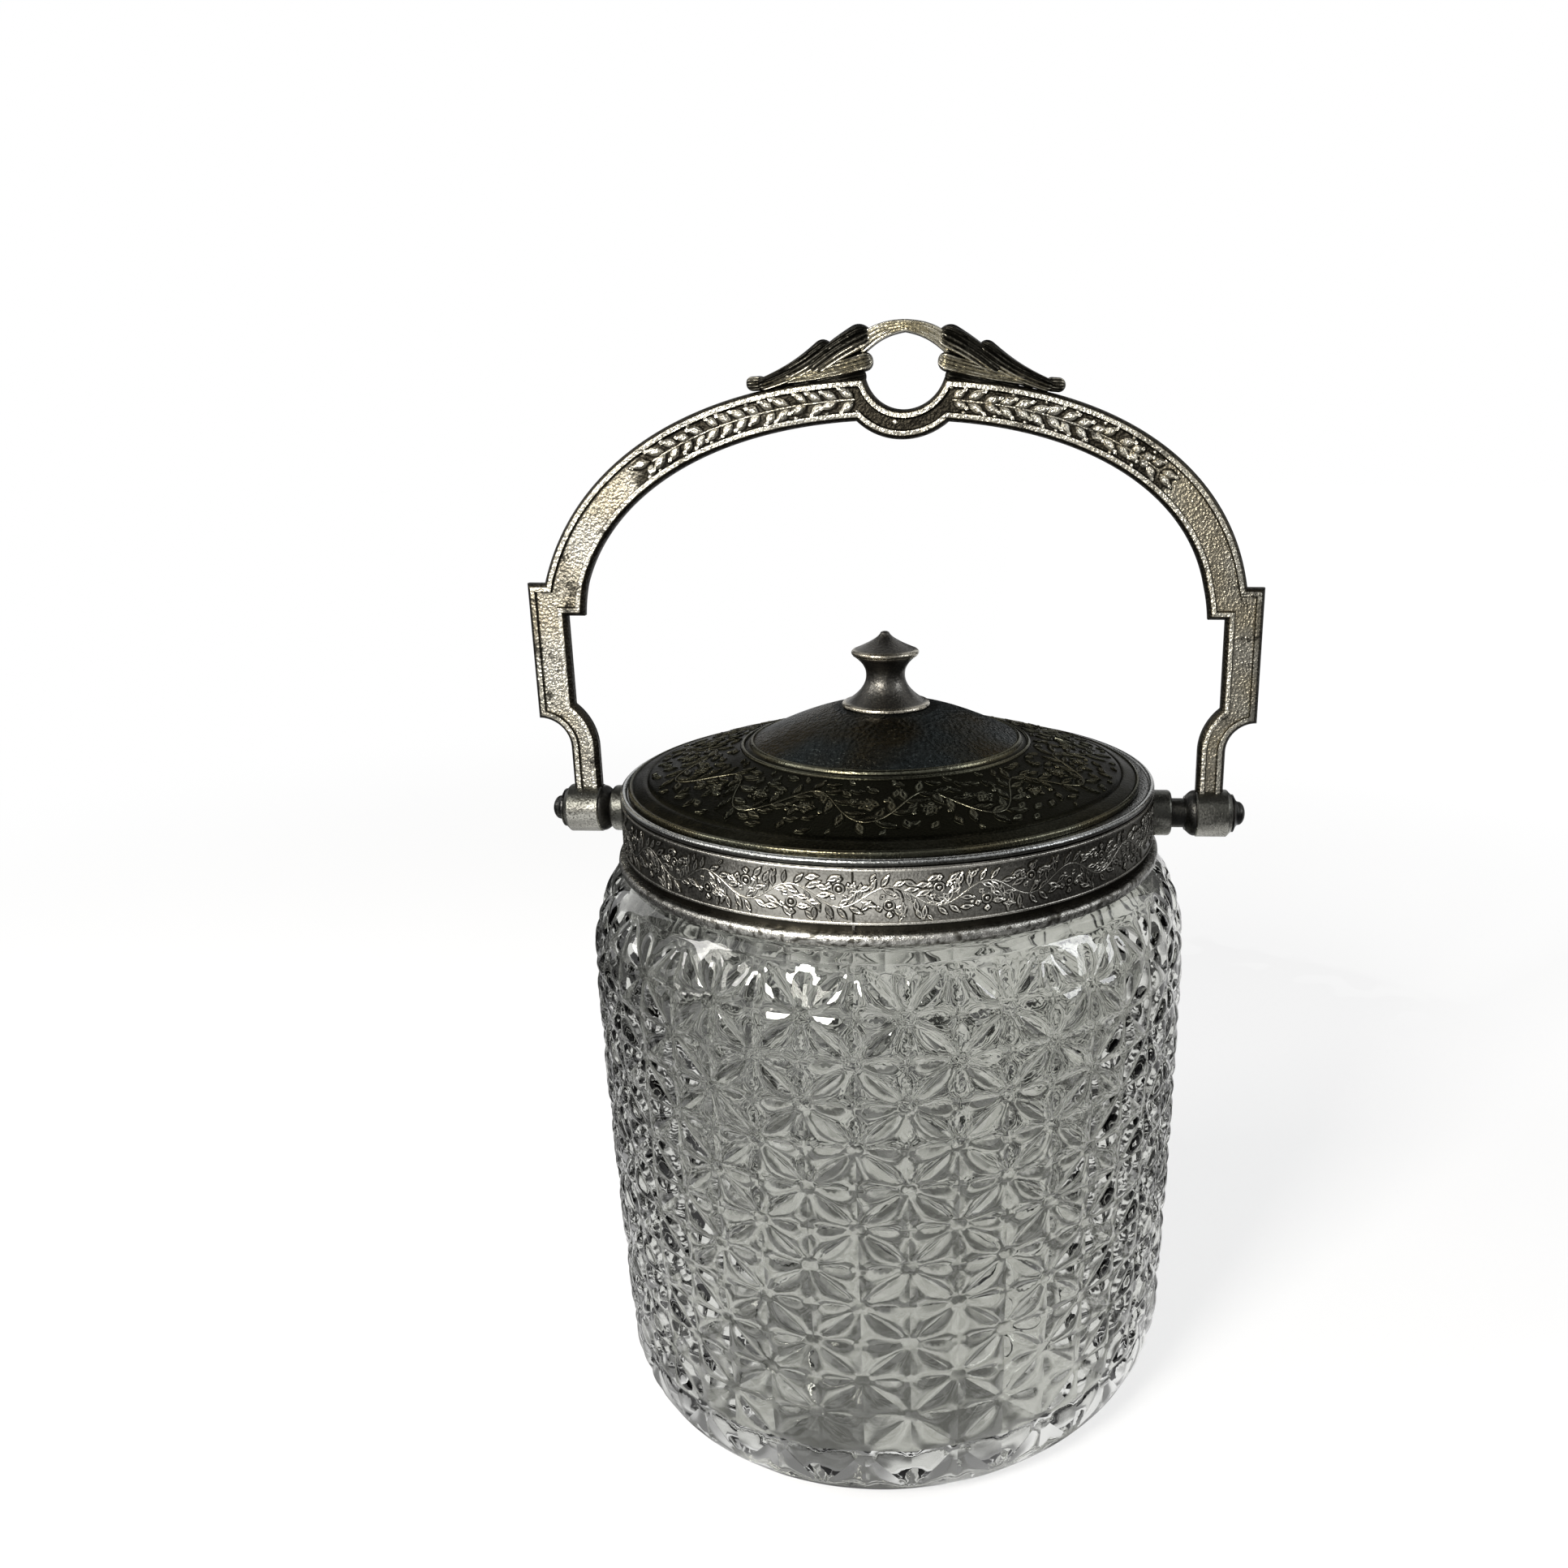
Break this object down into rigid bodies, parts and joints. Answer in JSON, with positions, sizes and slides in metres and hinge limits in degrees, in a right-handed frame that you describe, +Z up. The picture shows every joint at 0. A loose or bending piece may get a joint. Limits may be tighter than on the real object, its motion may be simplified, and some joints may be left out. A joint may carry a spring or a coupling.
{
  "type": "biscuit jar",
  "caption": "Pressed-glass biscuit jar with a star-and-diamond wall, a plated embossed collar, a domed lift-off lid with a turned finial and a cast swing handle with a leaf crest",
  "frame": {"origin": "centre of the flat standing ring under the glass, on the table, on the jar's axis", "axes": "+X along the handle's pivots to the viewer's right, +Y away from the viewer to the back, +Z up along the jar's axis"},
  "size_m": [0.1546, 0.1296, 0.2321],
  "materials": {
    "pressed_glass": "clear pressed glass, fire-polished, faintly grey",
    "plaster": "matt cast plaster, hidden between the neck and the collar",
    "silver_plate": "worn silver plate on base metal, dull in the recesses",
    "bright_plate": "silver plate rubbed bright by use",
    "aged_plate": "darkened, tarnished plate with bright worn edges",
    "brass_hardware": "plain brass, out of sight inside the lid"
  },
  "bodies": {
    "jar": {"glass_jar": "pressed_glass", "plaster_bed": "plaster", "collar_band": "silver_plate", "collar_bead": "aged_plate", "collar_rim": "silver_plate", "lug_left": "aged_plate", "lug_right": "aged_plate", "pivot_screw_left": "bright_plate", "pivot_screw_right": "bright_plate"},
    "bail": {"bail_frame": "silver_plate", "bail_crest": "aged_plate", "bail_eye_left": "bright_plate", "bail_eye_right": "bright_plate", "pivot_bush_left": "aged_plate", "pivot_bush_right": "aged_plate"},
    "lid": {"lid_plate": "aged_plate", "lid_flange": "aged_plate", "finial": "aged_plate", "finial_stud": "brass_hardware", "finial_washer": "brass_hardware", "finial_nut": "brass_hardware"}
  },
  "joints": [
    {"name": "bail_swing", "type": "hinge", "parent": "jar", "child": "bail", "pos_m": [0, 0, 0.1297], "axis": [1, 0, 0], "range_deg": [-120, 120]},
    {"name": "lid_lift", "type": "slide", "parent": "jar", "child": "lid", "axis": [0, 0, 1], "range_m": [0, 0.03]}
  ]
}
